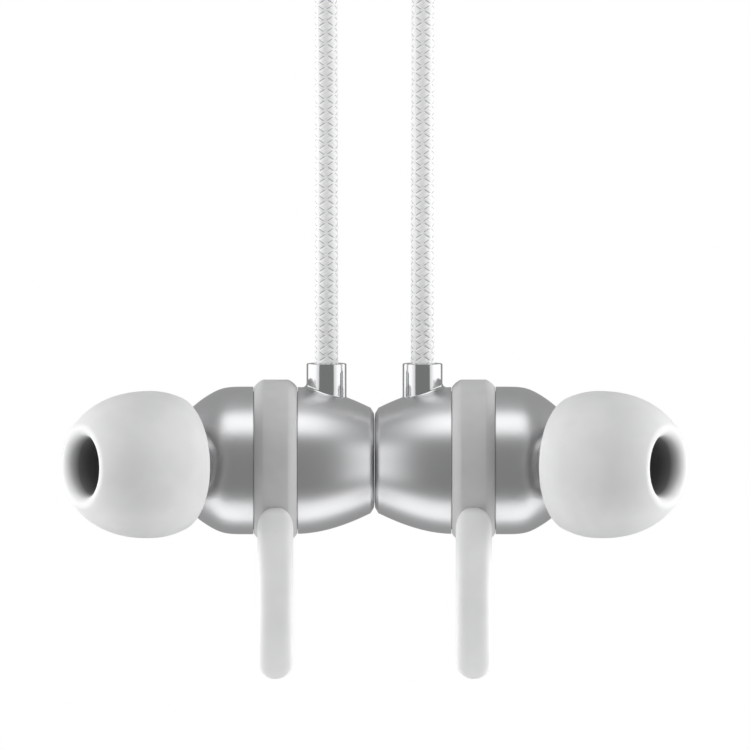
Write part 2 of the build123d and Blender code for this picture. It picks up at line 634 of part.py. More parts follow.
def make_earbuds():
    """Both earbuds, clasped face to face under the cords."""
    outer = rear_outer()
    made = {
        "rear_shell": outer - rear_cavity() - upright(GLAND_X, 0, GLAND_PIT, GLAND_TOP, GLAND_SPIGOT),
        "front_shell": front_shell(),
        "nozzle": nozzle(),
        "nozzle_mesh": nozzle_mesh(),
        "eartip": ear_tip(),
        "wing_sleeve": sleeve_ring() + ear_wing(),
        "cord_gland": cord_gland(outer),
        "cord_bush": cord_bush(),
        "clasp_magnet": ring(MAGNET_START, MAGNET_END, 0, MAGNET_RADIUS),
    }
    made.update(driver_parts())
    for name, shape in made.items():
        pieces["left_" + name] = Pos(0, BUD_Y, BUD_Z) * shape
        pieces["right_" + name] = mirrored(Pos(0, BUD_Y, BUD_Z) * shape)


# ================================================================== cords
def make_cords():
    """Each cord: straight runs joined by tangent arcs as large as the runs allow."""
    points = [Vector(*p) for p in CORD_ROUTE]
    runs = [points[i + 1] - points[i] for i in range(len(points) - 1)]
    radii = []
    for before, after in zip(runs, runs[1:]):
        turn = math.radians(before.get_angle(after))
        radii.append(ARC_SHARE * min(before.length, after.length) / math.tan(turn / 2))
    path = FilletPolyline(*points, radius=radii)
    start = Plane(origin=points[0], z_dir=runs[0])
    tube = sweep(start * Circle(CORD_DIAMETER / 2), path=path)
    section = math.pi * CORD_DIAMETER ** 2 / 4
    print("cord runs", [round(r.length, 1) for r in runs])
    print("cord arc radii", [round(r, 1) for r in radii])
    print("cord length", round(path.length, 2), "volume ratio", round(tube.volume / section / path.length, 5))
    pieces["left_cord"] = tube
    pieces["right_cord"] = mirrored(tube)


make_band()
make_pods()
for piece_name in list(pieces):
    pieces[piece_name] = TILT * pieces[piece_name]
make_earbuds()
make_cords()

os.makedirs("parts", exist_ok=True)
for piece_name, piece in pieces.items():
    export_step(piece, f"parts/{piece_name}.step")
print(len(pieces), "nodes")
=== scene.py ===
import json
import math
import bmesh
import bpy
from mathutils import Matrix, Vector


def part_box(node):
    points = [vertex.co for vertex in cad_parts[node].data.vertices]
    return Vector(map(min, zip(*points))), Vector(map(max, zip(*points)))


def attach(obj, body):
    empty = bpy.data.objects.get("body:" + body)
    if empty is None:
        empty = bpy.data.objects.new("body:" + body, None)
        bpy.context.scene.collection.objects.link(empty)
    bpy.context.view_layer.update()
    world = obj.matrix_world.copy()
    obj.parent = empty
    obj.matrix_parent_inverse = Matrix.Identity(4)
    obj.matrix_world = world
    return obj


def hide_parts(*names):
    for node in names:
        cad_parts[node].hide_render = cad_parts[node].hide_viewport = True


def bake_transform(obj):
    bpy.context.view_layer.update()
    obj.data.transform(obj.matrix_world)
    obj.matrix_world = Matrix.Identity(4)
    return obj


# Neckband earphones, clasped face to face and hanging from their cords. Metres.
# +Z up, -Y to the wearer's front, +X to the wearer's left.

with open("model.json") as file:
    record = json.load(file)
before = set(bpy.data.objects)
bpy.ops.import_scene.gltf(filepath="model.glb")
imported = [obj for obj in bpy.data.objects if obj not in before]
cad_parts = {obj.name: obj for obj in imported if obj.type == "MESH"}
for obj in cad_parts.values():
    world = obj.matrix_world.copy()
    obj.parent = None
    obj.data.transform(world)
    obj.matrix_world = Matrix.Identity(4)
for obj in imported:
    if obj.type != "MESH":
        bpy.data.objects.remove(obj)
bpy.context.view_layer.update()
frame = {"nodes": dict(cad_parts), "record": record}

MM = 0.001
SIDES = {"left": 1, "right": -1}

# ------------------------------------------------------------------ places read from the frame
shell_low, shell_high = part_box("left_rear_shell")
gland_low, gland_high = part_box("left_cord_gland")
sleeve_low, sleeve_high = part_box("left_wing_sleeve")
BUD = Vector((0, (shell_low.y + shell_high.y) / 2, (shell_low.z + shell_high.z) / 2))
SEAM_X = (sleeve_low.x + sleeve_high.x) / 2
GLAND_X = (gland_low.x + gland_high.x) / 2
GLAND_RADIUS = (gland_high.x - gland_low.x) / 2
GLAND_TOP = gland_high.z - BUD.z

# ------------------------------------------------------------------ camera
FRAME_WIDTH = 62.5 * MM
LENS = 1200
ELEVATION = 3.0             # degrees
CLIP = (0.05, 50)
AIM = Vector((0.04 * MM, BUD.y, BUD.z + 7.13 * MM))


def make_camera():
    """A long lens in front of the earbuds, a little above them."""
    data = bpy.data.cameras.new("camera")
    data.lens = LENS
    data.clip_start, data.clip_end = CLIP
    camera = bpy.data.objects.new("camera", data)
    bpy.context.scene.collection.objects.link(camera)
    back = Vector((0, -math.cos(math.radians(ELEVATION)), math.sin(math.radians(ELEVATION))))
    camera.location = AIM + back * (FRAME_WIDTH * LENS / data.sensor_width)
    camera.rotation_euler = (-back).to_track_quat("-Z", "Y").to_euler()
    bpy.context.scene.camera = camera


# ------------------------------------------------------------------ node helpers
class Nodes:
    """Short calls that add and link nodes in one tree."""

    def __init__(self, tree):
        self.tree = tree

    def add(self, kind, inputs=(), **settings):
        """A node with its settings and inputs, each input a value or a socket to link."""
        node = self.tree.nodes.new("ShaderNode" + kind)
        for name, value in settings.items():
            setattr(node, name, value)
        for key, value in dict(inputs).items():
            self.set(node.inputs[key], value)
        return node

    def set(self, socket, value):
        if isinstance(value, bpy.types.NodeSocket):
            self.tree.links.new(value, socket)
        else:
            socket.default_value = value

    def math(self, operation, a, b=0.0):
        node = self.add("Math", {0: a, 1: b}, operation=operation)
        return node.outputs[0]

    def ramp(self, value, low, high, out_low=0.0, out_high=1.0):
        """A smooth step from one value to another."""
        node = self.add("MapRange", {"Value": value, "From Min": low, "From Max": high,
                                     "To Min": out_low, "To Max": out_high},
                        interpolation_type="SMOOTHSTEP")
        return node.outputs["Result"]

    def band(self, value, low, high, soft):
        """1 between two values, falling smoothly to 0 on both sides."""
        rise = self.ramp(value, low - soft, low + soft)
        fall = self.ramp(value, high - soft, high + soft, 1.0, 0.0)
        return self.math("MULTIPLY", rise, fall)

    def mix(self, share, a, b):
        """Two colours mixed."""
        node = self.add("Mix", data_type="RGBA")
        self.set(node.inputs[0], share)
        self.set(node.inputs[6], a)
        self.set(node.inputs[7], b)
        return node.outputs[2]

    def noise(self, size, detail=3.0, where=None):
        """Noise whose features are about the given size in metres."""
        if where is None:
            where = self.add("TexCoord").outputs["Object"]
        node = self.add("TexNoise", {"Vector": where, "Scale": 1 / size, "Detail": detail})
        return node.outputs["Fac"]

    def bump(self, height, distance, strength=1.0):
        node = self.add("Bump", {"Height": height, "Distance": distance, "Strength": strength})
        return node.outputs["Normal"]

    def between(self, value, dark, light):
        """A grey that changes softly with the value of a noise."""
        return self.mix(self.ramp(value, 0.3, 0.7), grey(dark), grey(light))


def grey(value):
    return (value, value, value, 1.0)


# ------------------------------------------------------------------ studio
PANEL = 1.25
FRONT_LEVEL = 0.25
BACK_LEVEL = 0.36
ROOM_TURN = (60, 120)       # azimuths between which the front's level becomes the back's
LIGHT_COLOUR = (0.99, 0.995, 1.0, 1.0)
# a panel's start, end and soft edge, and where it fades sideways, all in degrees
ABOVE, ABOVE_REACH, ABOVE_SHARE = (46, 84, 8), (12, 46), 1.2
BELOW, BELOW_REACH = (-108, -66, 6), (40, 62)
BESIDE, BESIDE_REACH, BESIDE_FADE = (43, 131, 1.5), (18, 38), (44, 72, 0.72, 1.2)
FLOOR_Z = -0.62
FLOOR_RADIUS = 0.9
FLOOR_SIDES = 96
BACKDROP = 0.55             # how pale the floor and the room look away from the white wall behind
FLOOR_LEVEL = BACKDROP - 0.02
WALL_EDGE = (0.90, 0.99)    # how squarely backwards a view looks where the white wall starts and is full
FILL_DISTANCE = 0.6
# azimuth, elevation, size and watts of each fill light, which metal does not reflect
FILLS = [
    (82, 6, 0.35, 1.65),
    (-82, 6, 0.35, 1.65),
    (66, -30, 0.3, 0.7),
    (-66, -30, 0.3, 0.7),
    (180, 20, 0.5, 0.3),
]


def make_world():
    """Soft panels above, below and at both sides of a dim room, and a white wall behind."""
    world = bpy.data.worlds.new("studio")
    bpy.context.scene.world = world
    world.use_nodes = True
    world.node_tree.nodes.clear()
    n = Nodes(world.node_tree)
    split = n.add("SeparateXYZ", {0: n.add("TexCoord").outputs["Generated"]})
    x, y, z = split.outputs
    degrees = 180 / math.pi
    front = n.math("MULTIPLY", y, -1.0)
    aside = n.math("ABSOLUTE", x)
    height = n.math("MULTIPLY", n.math("ARCTAN2", z, front), degrees)
    azimuth = n.math("MULTIPLY", n.math("ARCTAN2", aside, front), degrees)
    lateral = n.math("MULTIPLY", n.math("ARCSINE", aside), degrees)
    rise = n.math("MULTIPLY", n.math("ABSOLUTE", n.math("ARCSINE", z)), degrees)
    above = n.math("MULTIPLY", n.band(height, *ABOVE), n.ramp(lateral, *ABOVE_REACH, 1.0, 0.0))
    below = n.math("MULTIPLY", n.band(height, *BELOW), n.ramp(lateral, *BELOW_REACH, 1.0, 0.0))
    beside = n.math("MULTIPLY", n.band(azimuth, *BESIDE), n.ramp(rise, *BESIDE_REACH, 1.0, 0.0))
    beside = n.math("MULTIPLY", beside, n.ramp(azimuth, *BESIDE_FADE))
    above = n.math("MULTIPLY", above, ABOVE_SHARE)
    panels = n.math("MAXIMUM", n.math("MAXIMUM", above, below), beside)
    room = n.ramp(azimuth, *ROOM_TURN, FRONT_LEVEL, BACK_LEVEL)
    level = n.math("ADD", room, n.math("MULTIPLY", panels, PANEL - FRONT_LEVEL))
    seen = n.add("LightPath").outputs["Is Camera Ray"]
    light = n.add("Background", {"Color": LIGHT_COLOUR, "Strength": level})
    sky = n.add("Background", {"Color": grey(1.0), "Strength": n.ramp(y, *WALL_EDGE, BACKDROP, 1.0)})
    both = n.add("MixShader", {0: seen, 1: light.outputs[0], 2: sky.outputs[0]})
    n.add("OutputWorld", {0: both.outputs[0]})
    bpy.context.scene.view_settings.view_transform = "Standard"


def make_fills():
    """Large soft lights that brighten silicone, braid and plastic."""
    for azimuth, elevation, size, power in FILLS:
        a, e = math.radians(azimuth), math.radians(elevation)
        back = Vector((math.sin(a) * math.cos(e), -math.cos(a) * math.cos(e), math.sin(e)))
        data = bpy.data.lights.new("fill", "AREA")
        data.shape = "DISK"
        data.size = size
        data.energy = power
        light = bpy.data.objects.new("fill", data)
        bpy.context.scene.collection.objects.link(light)
        light.location = BUD + back * FILL_DISTANCE
        light.rotation_euler = back.to_track_quat("Z", "Y").to_euler()
        light.visible_glossy = False
        light.visible_camera = False


def make_floor():
    """A plain pale floor far below."""
    bpy.ops.mesh.primitive_circle_add(vertices=FLOOR_SIDES, radius=FLOOR_RADIUS, fill_type="NGON",
                                      location=(0, 0, FLOOR_Z))
    floor = bpy.context.object
    floor.name = "floor"
    floor.visible_glossy = False
    floor.visible_diffuse = False
    floor.visible_transmission = False
    material = bpy.data.materials.new("floor")
    material.use_nodes = True
    bsdf = material.node_tree.nodes["Principled BSDF"]
    bsdf.inputs["Base Color"].default_value = grey(0.0)
    bsdf.inputs["Specular IOR Level"].default_value = 0.0
    bsdf.inputs["Emission Color"].default_value = grey(1.0)
    bsdf.inputs["Emission Strength"].default_value = FLOOR_LEVEL
    floor.data.materials.append(material)


# ------------------------------------------------------------------ mesh helpers
def new_object(name, points, faces):
    """A smooth-shaded mesh object from points and faces."""
    mesh = bpy.data.meshes.new(name)
    mesh.from_pydata([tuple(p) for p in points], [], faces)
    mesh.validate()
    bm = bmesh.new()
    bm.from_mesh(mesh)
    bmesh.ops.recalc_face_normals(bm, faces=bm.faces)
    bm.to_mesh(mesh)
    bm.free()
    mesh.shade_smooth()
    obj = bpy.data.objects.new(name, mesh)
    bpy.context.scene.collection.objects.link(obj)
    return obj


def sharpen(obj, degrees):
    """Creases stay crisp where faces meet at more than the given angle."""
    bm = bmesh.new()
    bm.from_mesh(obj.data)
    for edge in bm.edges:
        edge.smooth = len(edge.link_faces) != 2 or edge.calc_face_angle(0) < math.radians(degrees)
    bm.to_mesh(obj.data)
    bm.free()


def lathe(name, profile, steps, place):
    """A surface turned about its local X axis from a closed line of (along, radius) points, put in place."""
    points, faces = [], []
    count = len(profile)
    for j in range(steps):
        a = 2 * math.pi * j / steps
        for along, radius in profile:
            points.append(place @ Vector((along, radius * math.cos(a), radius * math.sin(a))))
    for j in range(steps):
        k = (j + 1) % steps
        for i in range(count):
            m = (i + 1) % count
            faces.append((j * count + i, j * count + m, k * count + m, k * count + i))
    obj = new_object(name, points, faces)
    weld(obj)
    return obj


SAME_PLACE = 1e-7


def weld(obj):
    """Points that fall together, as on an axis, become one."""
    bm = bmesh.new()
    bm.from_mesh(obj.data)
    bmesh.ops.remove_doubles(bm, verts=bm.verts, dist=SAME_PLACE)
    bmesh.ops.recalc_face_normals(bm, faces=bm.faces)
    bm.to_mesh(obj.data)
    bm.free()


def skin(name, rings):
    """A closed surface over rings of points, one ring after another."""
    points, faces = [], []
    count = len(rings[0])
    for ring in rings:
        points.extend(ring)
    for j in range(len(rings) - 1):
        for i in range(count):
            m = (i + 1) % count
            faces.append((j * count + i, j * count + m, (j + 1) * count + m, (j + 1) * count + i))
    faces.append(tuple(range(count)))
    faces.append(tuple((len(rings) - 1) * count + i for i in range(count)))
    return new_object(name, points, faces)


def in_mm(points):
    """Points given in millimetres, in metres."""
    return [(a * MM, b * MM) for a, b in points]


def point_values(obj, name, values):
    """A number for each point, which a material can read."""
    attribute = obj.data.attributes.new(name, "FLOAT", "POINT")
    attribute.data.foreach_set("value", values)


def dress(obj, body, material, slot, *nodes):
    """Gives a new piece its material and body and hides the CAD nodes that it stands for. The slot is not
    used.
    """
    obj.data.materials.clear()
    obj.data.materials.append(material)
    if nodes:
        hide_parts(*nodes)
    if body:
        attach(obj, body)


def bud_place(side):
    """From a bud's own frame to the row frame: X along the body's axis, away from the other bud."""
    return Matrix.Translation(BUD) @ Matrix.Diagonal((SIDES[side], 1, 1, 1))


# ------------------------------------------------------------------ materials
def blank(name):
    material = bpy.data.materials.new(name)
    material.use_nodes = True
    return material, Nodes(material.node_tree), material.node_tree.nodes["Principled BSDF"]


PATCH = 4 * MM              # size of the slow changes of colour


def speckled(name, colour, roughness, metallic=0.0, spread=0.02, grain=0.25 * MM, bump=3e-7,
             rough_spread=0.05):
    """A surface with slow changes of colour, fine grain and uneven gloss."""
    material, n, bsdf = blank(name)
    slow = n.noise(PATCH, 2.0)
    fine = n.noise(grain, 4.0)
    dark = tuple(c * (1 - spread) for c in colour) + (1.0,)
    light = tuple(min(1.0, c * (1 + spread)) for c in colour) + (1.0,)
    n.set(bsdf.inputs["Base Color"], n.mix(n.ramp(slow, 0.3, 0.7), dark, light))
    uneven = n.add("MapRange", {"Value": fine, "From Min": 0.3, "From Max": 0.7,
                                "To Min": roughness - rough_spread, "To Max": roughness + rough_spread})
    n.set(bsdf.inputs["Roughness"], uneven.outputs["Result"])
    n.set(bsdf.inputs["Normal"], n.bump(fine, bump))
    bsdf.inputs["Metallic"].default_value = metallic
    return material


def satin_metal():
    return speckled("satin_metal", (0.77, 0.772, 0.778), 0.33, 1.0, spread=0.012, grain=0.05 * MM, bump=4e-8,
                    rough_spread=0.02)


def polished_metal():
    return speckled("polished_metal", (0.68, 0.682, 0.688), 0.10, 1.0, spread=0.01, grain=0.2 * MM, bump=2e-8,
                    rough_spread=0.015)


def scatter(bsdf):
    """Light spreads a little way inside silicone."""
    bsdf.inputs["Subsurface Weight"].default_value = 0.15
    bsdf.inputs["Subsurface Radius"].default_value = (1.0, 0.95, 0.9)
    bsdf.inputs["Subsurface Scale"].default_value = 0.4 * MM


def tip_silicone():
    """White silicone, with painted shade greying it down the bore."""
    material, n, bsdf = blank("tip_silicone")
    bore_shade = n.add("Attribute", attribute_name="bore_shade", attribute_type="GEOMETRY").outputs["Fac"]
    white = n.between(n.noise(3 * MM, 2.0), 0.76, 0.80)
    # painted shade: the bore turns dark grey with depth, standing in for the shade inside it
    n.set(bsdf.inputs["Base Color"], n.mix(bore_shade, white, grey(0.14)))
    fine = n.noise(0.12 * MM, 3.0)
    n.set(bsdf.inputs["Roughness"], n.ramp(fine, 0.2, 0.8, 0.46, 0.58))
    n.set(bsdf.inputs["Normal"], n.bump(fine, 4e-7))
    scatter(bsdf)
    return material


def sleeve_silicone():
    """Milky silicone with light and shade painted in: greyer as painted shade where it lies on the metal,
    lighter as painted light passing through the free wing.
    """
    material, n, bsdf = blank("sleeve_silicone")
    free = n.add("Attribute", attribute_name="free", attribute_type="GEOMETRY").outputs["Fac"]
    slow = n.noise(2.5 * MM, 2.0)
    # painted shade on the ring over the metal, and painted light in the free wing: two copies of one silicone
    shaded_on_metal = n.between(slow, 0.60, 0.64)
    backlit_in_air = n.between(slow, 0.88, 0.91)
    n.set(bsdf.inputs["Base Color"], n.mix(free, shaded_on_metal, backlit_in_air))
    fine = n.noise(0.1 * MM, 3.0)
    n.set(bsdf.inputs["Roughness"], n.ramp(fine, 0.2, 0.8, 0.42, 0.54))
    n.set(bsdf.inputs["Normal"], n.bump(fine, 4e-7))
    scatter(bsdf)
    return material


def band_silicone():
    return speckled("band_silicone", (0.60, 0.60, 0.60), 0.52, spread=0.015, grain=0.12 * MM, bump=2e-7)


PLAIN = {
    "pod_plastic": ((0.61, 0.61, 0.62), 0.38, 0.0),
    "button_plastic": ((0.42, 0.42, 0.43), 0.33, 0.0),
    "relief_silicone": ((0.62, 0.62, 0.62), 0.55, 0.0),
    "screw_steel": ((0.56, 0.56, 0.57), 0.25, 1.0),
    "port_steel": ((0.62, 0.62, 0.63), 0.2, 1.0),
    "magnet_nickel": ((0.66, 0.64, 0.60), 0.18, 1.0),
    "coil_copper": ((0.76, 0.40, 0.22), 0.3, 1.0),
    "cone_film": ((0.45, 0.42, 0.36), 0.3, 0.0),
    "gasket_foam": ((0.05, 0.05, 0.05), 0.85, 0.0),
    "bush_silicone": ((0.4, 0.4, 0.4), 0.6, 0.0),
    "core_steel": ((0.5, 0.5, 0.52), 0.3, 1.0),
    "harness_jacket": ((0.12, 0.12, 0.13), 0.5, 0.0),
    "switch_plastic": ((0.06, 0.06, 0.065), 0.4, 0.0),
    "battery_pouch": ((0.58, 0.58, 0.60), 0.22, 1.0),
}


STRANDS = 4                 # of the braid that cross round the cord
YARNS = 3                   # side by side in each strand


def cord_braid():
    """White braid: yarns run along each strand; the grooves between yarns and the gaps between strands are
    greyed with painted shade.
    """
    material, n, bsdf = blank("cord_braid")
    place = n.add("UVMap", uv_map="Braid").outputs[0]
    split = n.add("SeparateXYZ", {0: place})
    u, v = split.outputs[0], split.outputs[1]
    around = n.math("MULTIPLY", u, float(STRANDS))
    first = n.math("ADD", around, v)
    second = n.math("SUBTRACT", around, v)
    parity = n.math("FLOORED_MODULO", n.math("ADD", n.math("FLOOR", first), n.math("FLOOR", second)), 2.0)
    swap = n.math("LESS_THAN", parity, 0.5)
    here = n.math("FRACT", n.add("Mix", {0: swap, 2: first, 3: second}, data_type="FLOAT").outputs[0])
    far = n.math("FRACT", n.add("Mix", {0: swap, 2: second, 3: first}, data_type="FLOAT").outputs[0])
    edge = n.math("ABSOLUTE", n.math("SUBTRACT", here, 0.5))
    end = n.math("ABSOLUTE", n.math("SUBTRACT", far, 0.5))
    # painted shade: the gaps between strands are painted dark grey, as well as sunk by the bump
    shaded_gap = n.math("MULTIPLY", n.ramp(edge, 0.38, 0.46), n.ramp(end, 0.22, 0.36, 1.0, 0.0))
    yarn = n.math("SINE", n.math("MULTIPLY", here, 2 * math.pi * YARNS))
    fuzz = n.noise(0.07 * MM, 3.0)
    white = n.between(fuzz, 0.88, 0.94)
    # painted shade: light grey lines in the grooves between yarns
    groove_shaded = n.mix(n.ramp(yarn, -1.0, -0.2, 0.2, 0.0), white, grey(0.60))
    n.set(bsdf.inputs["Base Color"], n.mix(n.math("MULTIPLY", shaded_gap, 0.8), groove_shaded, grey(0.25)))
    bsdf.inputs["Roughness"].default_value = 0.8
    bsdf.inputs["Sheen Weight"].default_value = 0.25
    bsdf.inputs["Sheen Roughness"].default_value = 0.4
    height = n.math("ADD", n.math("MULTIPLY", yarn, 0.3), n.math("MULTIPLY", fuzz, 0.5))
    n.set(bsdf.inputs["Normal"], n.bump(n.math("SUBTRACT", height, shaded_gap), 2.5e-5, 0.8))
    return material


def screen_steel():
    """A fine round-hole screen."""
    material, n, bsdf = blank("mesh_steel")
    where = n.add("TexCoord").outputs["Object"]
    cells = n.add("TexVoronoi", {"Vector": where, "Scale": 1 / (0.28 * MM), "Randomness": 0.0})
    hole = n.ramp(cells.outputs["Distance"], 0.28, 0.36, 1.0, 0.0)
    # painted shade: the holes are painted near-black, standing in for the shade behind the openings
    n.set(bsdf.inputs["Base Color"], n.mix(hole, grey(0.10), grey(0.005)))
    bsdf.inputs["Metallic"].default_value = 1.0
    bsdf.inputs["Roughness"].default_value = 0.4
    n.set(bsdf.inputs["Normal"], n.bump(n.math("SUBTRACT", 1.0, hole), 3e-5))
    return material


def board_laminate():
    """Green solder mask over copper tracks."""
    material, n, bsdf = blank("board_laminate")
    where = n.add("TexCoord").outputs["Object"]
    tracks = n.add("TexBrick", {"Vector": where, "Scale": 1 / (1.6 * MM), "Mortar Size": 0.05,
                                "Color1": grey(0.0), "Color2": grey(0.0), "Mortar": grey(1.0)})
    mask_green, track_green = (0.01, 0.09, 0.045, 1), (0.03, 0.20, 0.09, 1)
    n.set(bsdf.inputs["Base Color"], n.mix(tracks.outputs["Color"], mask_green, track_green))
    bsdf.inputs["Roughness"].default_value = 0.3
    n.set(bsdf.inputs["Normal"], n.bump(tracks.outputs["Color"], 2e-5))
    return material


def light_acrylic():
    material, n, bsdf = blank("light_acrylic")
    cloud = n.noise(0.5 * MM, 3.0)
    n.set(bsdf.inputs["Base Color"], n.mix(cloud, (0.86, 0.88, 0.90, 1), (0.94, 0.95, 0.96, 1)))
    bsdf.inputs["Roughness"].default_value = 0.2
    bsdf.inputs["Subsurface Weight"].default_value = 0.3
    bsdf.inputs["Subsurface Scale"].default_value = 0.5 * MM
    return material


def brushed_cap():
    """Metal brushed round the pod's end."""
    material, n, bsdf = blank("cap_metal")
    where = n.add("TexCoord").outputs["Object"]
    stretched = n.add("Mapping", {"Vector": where, "Scale": (1.0, 12.0, 12.0)})
    lines = n.noise(0.8 * MM, 5.0, stretched.outputs[0])
    n.set(bsdf.inputs["Base Color"], n.mix(lines, grey(0.66), grey(0.76)))
    bsdf.inputs["Metallic"].default_value = 1.0
    n.set(bsdf.inputs["Roughness"], n.ramp(lines, 0.3, 0.7, 0.24, 0.34))
    n.set(bsdf.inputs["Normal"], n.bump(lines, 8e-7))
    return material


def make_materials():
    """One material for each of the record's slots."""
    made = {
        "shell_metal": satin_metal(),
        "gland_metal": polished_metal(),
        "tip_silicone": tip_silicone(),
        "sleeve_silicone": sleeve_silicone(),
        "cord_braid": cord_braid(),
        "band_silicone": band_silicone(),
        "mesh_steel": screen_steel(),
        "board_laminate": board_laminate(),
        "light_acrylic": light_acrylic(),
        "cap_metal": brushed_cap(),
    }
    for slot, (colour, roughness, metallic) in PLAIN.items():
        made[slot] = speckled(slot, colour, roughness, metallic)
    return made


# ------------------------------------------------------------------ cords
CORD_DIAMETER = 1.92 * MM
CORD_STEP = 0.11 * MM
CORD_SEGMENTS = 48
PITCH = 0.93 * MM           # from one crossing of the braid to the next, along the cord
RELIEF = 0.05 * MM          # from the braid's gaps to its highest strands
RELIEF_MEAN = 0.4           # the height that lies at the cord's own radius
STRAND_DIP = 0.45           # how much lower a strand's ends are, where it goes under another
BRAID_TURN = -0.004         # of a turn, so that a crossing faces the front
CORD_ROUTE = [
    (0.036209, -0.131828, -0.110617),
    (0.0333, -0.14075, -0.1181),
    (0.0301, -0.1483, -0.1284),
    (0.0262, -0.1536, -0.1420),
    (0.0210, -0.1564, -0.1600),
    (0.0146, -0.1576, -0.1825),
    (0.0082, -0.1580, -0.2085),
    (0.0046, -0.15803, -0.2380),
    (0.0040, -0.1580, -0.2780),
    (0.0040, -0.1580, -0.3180),
]


def route_line(points, side):
    """Points along the smooth line that has the route's points as its control points."""
    curve = bpy.data.curves.new("route", "CURVE")
    curve.dimensions = "3D"
    spline = curve.splines.new("NURBS")
    spline.points.add(len(points) - 1)
    for control, (x, y, z) in zip(spline.points, points):
        control.co = (side * x, y, z, 1)
    spline.order_u = 3
    spline.use_endpoint_u = True
    spline.resolution_u = 64
    obj = bpy.data.objects.new("route", curve)
    bpy.context.scene.collection.objects.link(obj)
    mesh = bpy.data.meshes.new_from_object(obj)
    line = [v.co.copy() for v in mesh.vertices]
    bpy.data.objects.remove(obj)
    bpy.data.meshes.remove(mesh)
    return line


def even_line(line, step):
    """The same line with points at an even spacing."""
    lengths = [0.0]
    for a, b in zip(line, line[1:]):
        lengths.append(lengths[-1] + (b - a).length)
    count = round(lengths[-1] / step)
    out, k = [], 0
    for i in range(count + 1):
        s = lengths[-1] * i / count
        while k < len(line) - 2 and lengths[k + 1] < s:
            k += 1
        share = (s - lengths[k]) / (lengths[k + 1] - lengths[k])
        out.append(line[k].lerp(line[k + 1], share))
    return out, lengths[-1]


def frames_along(line):
    """Two directions across the line at each point, turning as little as they can."""
    tangents = []
    for i in range(len(line)):
        a = line[max(0, i - 1)]
        b = line[min(len(line) - 1, i + 1)]
        tangents.append((b - a).normalized())
    across = Vector((1, 0, 0))
    out = [None] * len(line)
    for i in range(len(line) - 1, -1, -1):
        across = (across - tangents[i] * across.dot(tangents[i])).normalized()
        out[i] = (across.copy(), tangents[i].cross(across))
    return out


def braid_height(u, v):
    """How far the braid stands out at a place round and along the cord, 0 in the gaps to 1 on a strand."""
    first = STRANDS * u + v
    second = STRANDS * u - v
    if (math.floor(first) + math.floor(second)) % 2 < 0.5:
        first, second = second, first
    side = abs((first % 1) - 0.5) * 2
    end = abs((second % 1) - 0.5) * 2
    return (1 - side ** 3) * (1 - STRAND_DIP * end ** 2)


def make_cord(side, material):
    """A braided cord from the strain relief to the gland, bending between the arm and the earbud."""
    sign = SIDES[side]
    line, length = even_line(route_line(CORD_ROUTE, sign), CORD_STEP)
    across = frames_along(line)
    count = CORD_SEGMENTS
    crossings = [(length - length * i / (len(line) - 1)) / PITCH for i in range(len(line))]
    points, coords = [], []
    for v, centre, (a, b) in zip(crossings, line, across):
        for j in range(count):
            u = j / count
            angle = 2 * math.pi * u
            radius = CORD_DIAMETER / 2 - RELIEF * (RELIEF_MEAN - braid_height(u + BRAID_TURN, v))
            points.append(centre + (a * math.cos(angle) + b * math.sin(angle)) * radius)
    faces = []
    for i in range(len(line) - 1):
        for j in range(count):
            m = (j + 1) % count
            faces.append((i * count + j, i * count + m, (i + 1) * count + m, (i + 1) * count + j))
            low, high = crossings[i], crossings[i + 1]
            first = j / count + BRAID_TURN
            second = (j + 1) / count + BRAID_TURN
            coords.extend([(first, low), (second, low), (second, high), (first, high)])
    faces.append(tuple(range(count)))
    coords.extend([(0.0, 0.0)] * count)
    last = (len(line) - 1) * count
    faces.append(tuple(last + j for j in reversed(range(count))))
    coords.extend([(0.0, 0.0)] * count)
    mesh = bpy.data.meshes.new(side + "_cord_braid")
    mesh.from_pydata([tuple(p) for p in points], [], faces)
    layer = mesh.uv_layers.new(name="Braid")
    layer.data.foreach_set("uv", [c for pair in coords for c in pair])
    mesh.shade_smooth()
    obj = bpy.data.objects.new(side + "_cord_braid", mesh)
    bpy.context.scene.collection.objects.link(obj)
    dress(obj, None, material, "cord_braid", side + "_cord")
    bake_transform(obj)


# ------------------------------------------------------------------ ear tips
TIP_PLACE = Vector((14.1, -3.43, 0)) * MM
TIP_RIM = 2.69 * MM
TIP_ANGLE = 30.0
TIP_RADIUS = 6.114 * MM
RIM_RADIUS = 5.564 * MM
TIP_WIDEST = 2.524 * MM
TIP_REACH = 7.985 * MM
TIP_POWERS = (2.357, 1 / 1.773)
TIP_START = 0.12 * MM       # the skirt's outer surface, from its rim to the lip
TIP_END = 8.965 * MM
TIP_STEPS = 72
TIP_SEGMENTS = 192
CURVE_STEPS = 24
RIM_STEPS = 8
# (along, radius) in millimetres; the lip, the inside and the fold are curves, the rest are corners
LIP = [(9.32, 3.25), (9.20, 2.58), (8.0, 2.36)]
BORE = [(7.0, 2.32), (6.0, 2.3), (5.2, 2.3), (5.16, 2.28)]
CORE = [(-0.3, 2.28), (-0.3, 2.4), (-0.3, 2.9), (-0.25, 3.05), (-0.1, 3.1), (2, 3.1), (4, 3.1), (6.2, 3.12)]
INSIDE = [(6.2, 3.12), (7.3, 3.4), (6.9, 5.45), (2.6, 5.62)]
RIM = [(2.6, 5.62), (1.4, 5.62), (0.5, 5.36), (0.1, 5.26)]
FOLD = [(-0.12, 5.22), (-0.12, 5.58)]
BORE_SHADE_START = 8.85 * MM      # where the painted shade starts to darken the bore
BORE_SHADE_REACH = 1.0 * MM
BORE_LIMIT = 2.75 * MM


